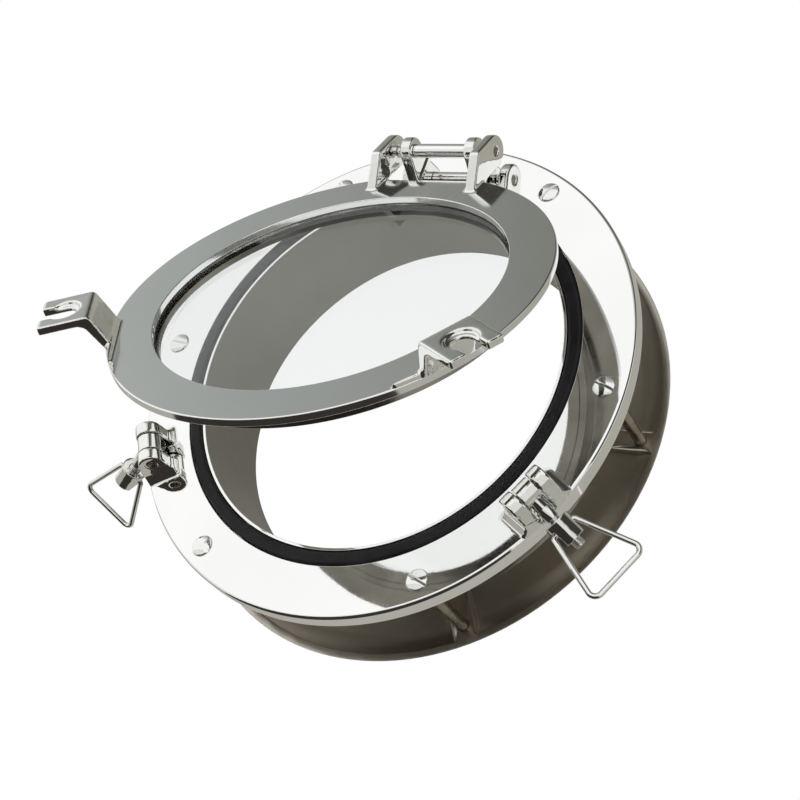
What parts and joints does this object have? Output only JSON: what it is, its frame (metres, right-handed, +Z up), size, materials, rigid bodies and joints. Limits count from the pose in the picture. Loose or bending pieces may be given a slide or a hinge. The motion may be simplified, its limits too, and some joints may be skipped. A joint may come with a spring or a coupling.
{
  "type": "porthole window",
  "caption": "Round opening porthole window: polished flanged frame with a gasket, a hinged glazed cover, swing-bolt clamps with bail handles, and a trim ring.",
  "frame": {"origin": "centre of the clear opening, in the plane of the flange's wall face", "axes": "+X to the right as seen from the room, +Y through the wall towards the outside, +Z up towards the hinge"},
  "size_m": [0.3248, 0.1762, 0.273],
  "materials": {
    "polished_steel": "mirror polished stainless steel",
    "satin_steel": "satin stainless steel",
    "rubber": "smooth black rubber",
    "glass": "clear toughened glass"
  },
  "bodies": {
    "frame": {"frame_casting": "polished_steel", "gasket": "rubber", "counter_flange": "satin_steel", "frame_screw_1": "polished_steel", "frame_screw_2": "polished_steel", "frame_screw_3": "polished_steel", "frame_screw_4": "polished_steel", "frame_screw_5": "polished_steel", "frame_screw_6": "polished_steel", "hinge_pin": "polished_steel", "hinge_spacer": "polished_steel", "clevis_pin_left": "polished_steel", "clevis_pin_right": "polished_steel"},
    "cover": {"cover_ring": "polished_steel", "glass_pane": "glass", "glass_seal": "rubber", "glass_retainer": "polished_steel"},
    "bolt_left": {"swing_bolt_left": "polished_steel"},
    "bolt_right": {"swing_bolt_right": "polished_steel"},
    "nut_left": {"clamp_nut_left": "polished_steel"},
    "nut_right": {"clamp_nut_right": "polished_steel"},
    "handle_left": {"bail_handle_left": "polished_steel"},
    "handle_right": {"bail_handle_right": "polished_steel"}
  },
  "joints": [
    {"name": "cover_hinge", "type": "hinge", "parent": "frame", "child": "cover", "pos_m": [0, -0.0216, 0.125], "axis": [-1, 0, 0], "range_deg": [-26.4, 84]},
    {"name": "bolt_swing_left", "type": "hinge", "parent": "frame", "child": "bolt_left", "pos_m": [-0.10999, -0.0207, -0.0635], "axis": [-0.5, 0, 0.866], "range_deg": [0, 186]},
    {"name": "bolt_swing_right", "type": "hinge", "parent": "frame", "child": "bolt_right", "pos_m": [0.10999, -0.0207, -0.0635], "axis": [-0.5, 0, -0.866], "range_deg": [0, 186]},
    {"name": "nut_turn_left", "type": "hinge", "parent": "bolt_left", "child": "nut_left", "pos_m": [-0.12421, -0.00877, -0.07171], "axis": [-0.7006, 0.5878, -0.4045], "continuous": true},
    {"name": "nut_turn_right", "type": "hinge", "parent": "bolt_right", "child": "nut_right", "pos_m": [0.12246, -0.01024, -0.0707], "axis": [0.7006, 0.5878, -0.4045], "continuous": true},
    {"name": "handle_swing_left", "type": "hinge", "parent": "nut_left", "child": "handle_left", "pos_m": [-0.12761, -0.00592, -0.07367], "axis": [0.7135, 0.5721, -0.4046], "range_deg": [-85, 85]},
    {"name": "handle_swing_right", "type": "hinge", "parent": "nut_right", "child": "handle_right", "pos_m": [0.12585, -0.00739, -0.07266], "axis": [0.4441, 0.0846, 0.892], "range_deg": [-61, 109]}
  ]
}
